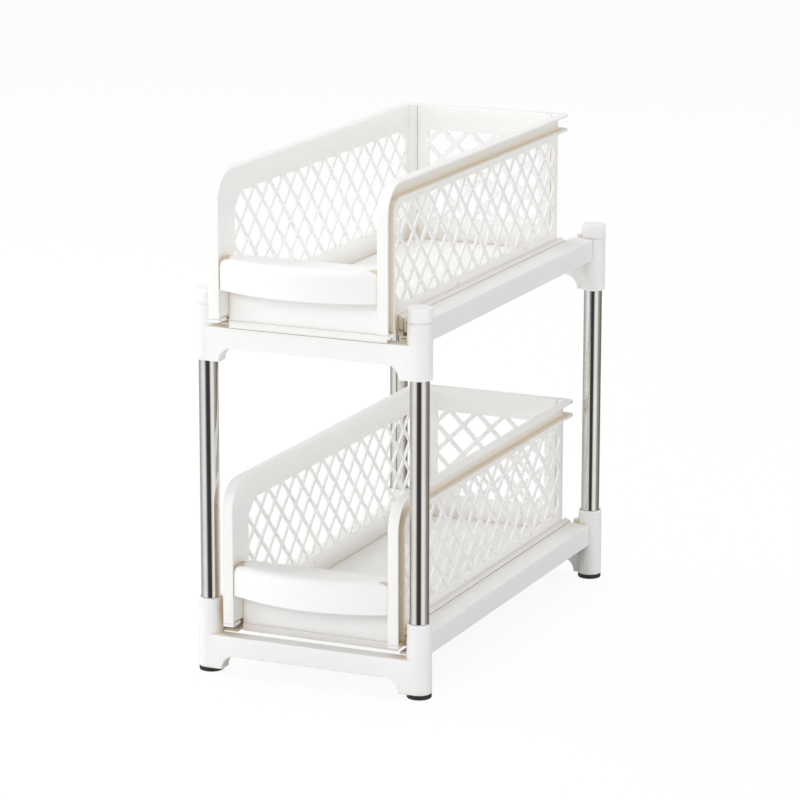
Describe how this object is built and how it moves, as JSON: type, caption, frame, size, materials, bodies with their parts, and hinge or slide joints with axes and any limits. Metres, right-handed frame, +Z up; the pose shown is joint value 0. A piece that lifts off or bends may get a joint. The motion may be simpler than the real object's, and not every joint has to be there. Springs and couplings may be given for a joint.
{
  "type": "pull-out storage rack",
  "caption": "Slim two-tier rack: open plastic shelves on steel poles, each with a lattice basket that slides out on side rails by a bowed handle.",
  "frame": {"origin": "on the ground, at the middle of the bounding box's footprint with the baskets where the picture shows them", "axes": "+Z up, +Y towards the back of the rack, so the baskets pull out towards -Y, +X to the right seen from the front"},
  "size_m": [0.2076, 0.4352, 0.4215],
  "materials": {
    "white_plastic": "satin moulded white",
    "polished_steel": "polished stainless tube",
    "black_rubber": "matt black"
  },
  "bodies": {
    "stand": {"foot_front_left": "black_rubber", "foot_front_right": "black_rubber", "foot_rear_left": "black_rubber", "foot_rear_right": "black_rubber", "pole_front_left": "polished_steel", "pole_front_right": "polished_steel", "pole_rear_left": "polished_steel", "pole_rear_right": "polished_steel", "cap_front_left": "white_plastic", "cap_front_right": "white_plastic", "cap_rear_left": "white_plastic", "cap_rear_right": "white_plastic", "lower_front_frame": "white_plastic", "lower_rear_frame": "white_plastic", "lower_left_rail": "white_plastic", "lower_right_rail": "white_plastic", "upper_front_frame": "white_plastic", "upper_rear_frame": "white_plastic", "upper_left_rail": "white_plastic", "upper_right_rail": "white_plastic"},
    "lower_basket": {"lower_basket_floor": "white_plastic", "lower_basket_left_side": "white_plastic", "lower_basket_right_side": "white_plastic", "lower_basket_back": "white_plastic", "lower_basket_front": "white_plastic"},
    "upper_basket": {"upper_basket_floor": "white_plastic", "upper_basket_left_side": "white_plastic", "upper_basket_right_side": "white_plastic", "upper_basket_back": "white_plastic", "upper_basket_front": "white_plastic"}
  },
  "joints": [
    {"name": "lower_basket_slide", "type": "slide", "parent": "stand", "child": "lower_basket", "axis": [0, -1, 0], "range_m": [0, 0.25]},
    {"name": "upper_basket_slide", "type": "slide", "parent": "stand", "child": "upper_basket", "axis": [0, -1, 0], "range_m": [-0.0204, 0.2296]}
  ]
}
